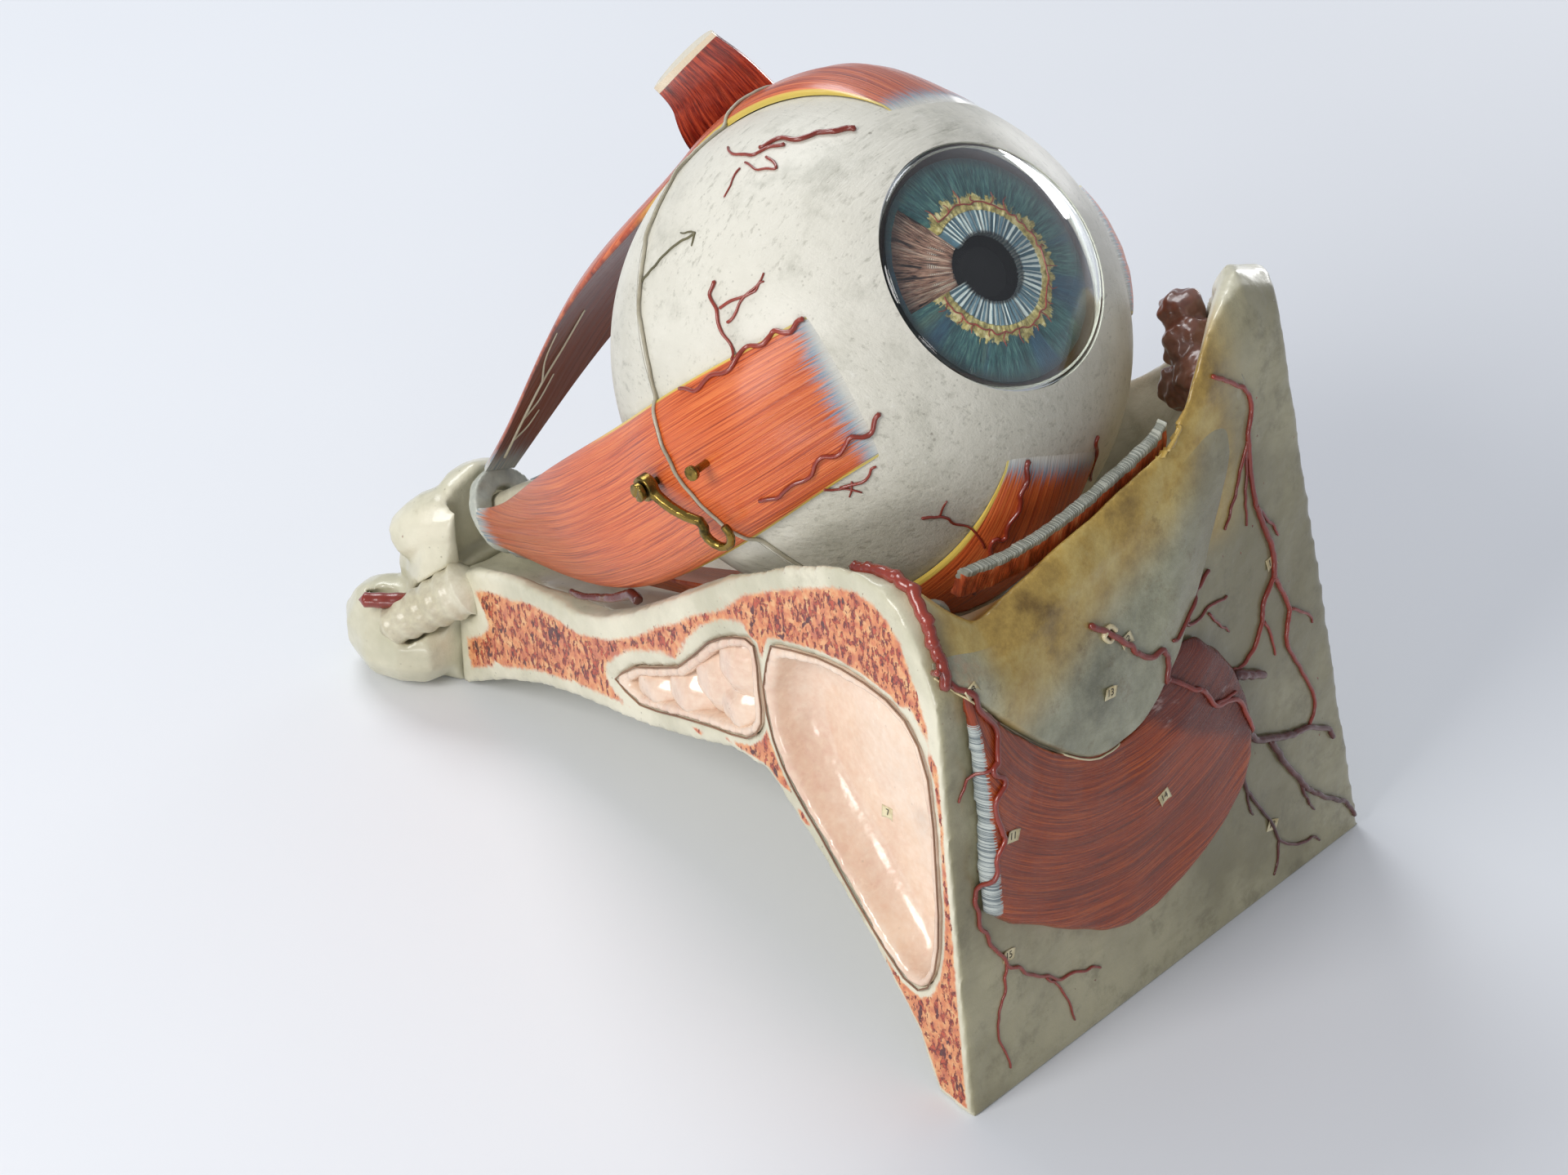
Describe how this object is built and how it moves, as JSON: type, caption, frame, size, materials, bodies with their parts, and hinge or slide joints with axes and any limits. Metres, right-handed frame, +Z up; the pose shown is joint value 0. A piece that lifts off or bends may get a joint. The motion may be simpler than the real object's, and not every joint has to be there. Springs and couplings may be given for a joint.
{
  "type": "eye anatomy model",
  "caption": "Enlarged dissectible model of an eye in a cut piece of its bony orbit; the eyeball lifts off, opens at its equator and shows lens, vitreous body and retina.",
  "frame": {"origin": "middle of the underside of the whole model, on the table", "axes": "+Z up; -Y out of the forehead panel, which the eye looks over; -X out of the cut midline face"},
  "size_m": [0.158, 0.2594, 0.2069],
  "materials": {
    "bone": "varnished ivory paint on papier-mache",
    "sinus": "varnished pink paint",
    "skin": "varnished olive paint",
    "dark_muscle": "varnished dark red paint",
    "muscle": "varnished orange-red paint",
    "tendon": "pale grey paint",
    "sclera": "varnished off-white paint",
    "choroid": "matt dark brown paint",
    "retina": "matt orange paint",
    "iris": "painted blue-green",
    "ciliary": "matt brown paint",
    "glass": "clear blown glass",
    "lens": "yellowish glass",
    "artery": "brick red paint on wrapped wire",
    "nerve": "cream paint",
    "gland": "varnished brown-pink paint",
    "brass": "aged brass"
  },
  "bodies": {
    "orbit": {"frontal_bone": "bone", "sphenoid": "bone", "support_peg": "brass", "sinus_lining": "sinus", "sinus_cell_lining": "sinus", "sinus_folds": "sinus", "brow_flap": "skin", "brow_muscle": "dark_muscle", "lid_muscle": "tendon", "tear_gland": "gland", "muscle_pulley": "tendon", "carotid_stub": "artery", "optic_nerve_stub": "nerve", "medial_artery": "artery", "brow_artery": "artery", "temple_artery": "artery", "ledge_artery": "artery"},
    "eyeball": {"sclera_rear": "sclera", "choroid_rear": "choroid", "retina": "retina", "medial_rectus_rear": "muscle", "inferior_rectus_rear": "muscle", "lateral_rectus_rear": "muscle", "superior_rectus_rear": "muscle", "inferior_oblique": "dark_muscle", "optic_nerve": "nerve", "tendon_ring": "tendon", "hook_screw": "brass"},
    "eye_front": {"sclera_front": "sclera", "choroid_front": "choroid", "cornea": "glass", "iris": "iris", "ciliary_body": "ciliary", "medial_rectus_front": "muscle", "inferior_rectus_front": "muscle", "lateral_rectus_front": "muscle", "superior_rectus_front": "muscle", "hook_pin": "brass", "ciliary_artery_1": "artery", "ciliary_artery_2": "artery", "ciliary_artery_3": "artery", "ciliary_artery_4": "artery"},
    "vitreous": {"vitreous_body": "glass"},
    "lens": {"lens": "lens"},
    "hook": {"hook": "brass"}
  },
  "joints": [
    {"name": "eyeball_lift", "type": "slide", "parent": "orbit", "child": "eyeball", "axis": [0, 0, 1], "range_m": [0, 0.095]},
    {"name": "front_draw", "type": "slide", "parent": "eyeball", "child": "eye_front", "axis": [-0.1719, -0.3686, 0.9135], "range_m": [0, 0.085]},
    {"name": "vitreous_draw", "type": "slide", "parent": "eyeball", "child": "vitreous", "axis": [-0.1719, -0.3686, 0.9135], "range_m": [0, 0.0425]},
    {"name": "lens_draw", "type": "slide", "parent": "vitreous", "child": "lens", "axis": [-0.1719, -0.3686, 0.9135], "range_m": [0, 0.017]},
    {"name": "hook_turn", "type": "hinge", "parent": "eyeball", "child": "hook", "pos_m": [-0.07304, -0.01608, 0.13014], "axis": [-0.9868, 0.089, -0.1351], "range_deg": [0, 50]}
  ],
  "couplings": [
    {"joint": "vitreous_draw", "follows": "front_draw", "ratio": 0.5},
    {"joint": "lens_draw", "follows": "front_draw", "ratio": 0.2}
  ]
}
